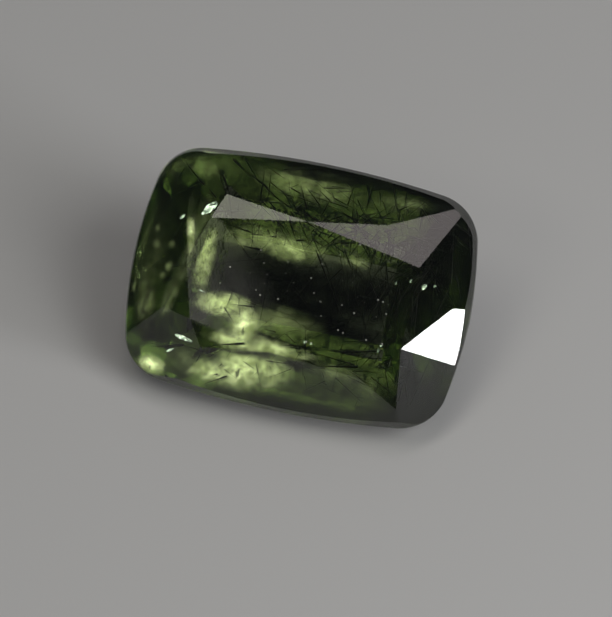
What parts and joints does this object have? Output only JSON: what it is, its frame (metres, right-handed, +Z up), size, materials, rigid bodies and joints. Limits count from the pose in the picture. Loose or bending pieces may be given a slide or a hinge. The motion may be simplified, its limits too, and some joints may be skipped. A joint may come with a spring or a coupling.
{
  "type": "cut peridot gemstone",
  "caption": "Cushion-cut green peridot with a flat table, sloping crown facets, a thin girdle and a stepped pavilion that ends in a keel, lying on one pavilion facet.",
  "frame": {"origin": "on the ground plane, under the middle of the stone's bounding box", "axes": "+X along the stone's long axis, +Z up, -Y the way the tilted table faces"},
  "size_m": [0.012, 0.0074, 0.0068],
  "materials": {
    "peridot": "polished clear green crystal",
    "inclusions": "near-black mineral needles shut in the crystal"
  },
  "bodies": {
    "root": {"peridot": "peridot"}
  },
  "joints": []
}
